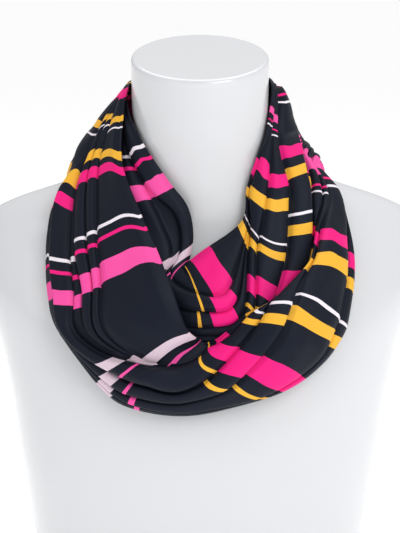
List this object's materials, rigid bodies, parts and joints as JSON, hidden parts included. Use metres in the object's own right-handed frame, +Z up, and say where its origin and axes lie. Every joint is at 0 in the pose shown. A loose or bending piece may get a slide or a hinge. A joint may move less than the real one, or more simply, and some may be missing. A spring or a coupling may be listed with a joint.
{
  "type": "infinity scarf on a bust form",
  "caption": "Striped jersey infinity scarf wound twice round the neck of a limbless bust form, which stands on its flat base.",
  "frame": {"origin": "middle of the form's flat base, on the surface it stands on", "axes": "+Z up the neck, -Y to the front of the form, +X to the right of the picture"},
  "size_m": [0.396, 0.257, 0.4646],
  "materials": {
    "form_gloss": "smooth white gloss lacquer on a moulded shell",
    "scarf_jersey": "fine near-black jersey with a soft sheen and woven-through stripes in pink, rose, gold, lilac and white"
  },
  "bodies": {
    "root": {"bust_form": "form_gloss", "inner_left": "scarf_jersey", "inner_cross": "scarf_jersey", "inner_right": "scarf_jersey", "inner_back": "scarf_jersey", "outer_left": "scarf_jersey", "outer_front": "scarf_jersey", "outer_right": "scarf_jersey", "outer_back": "scarf_jersey"}
  },
  "joints": []
}
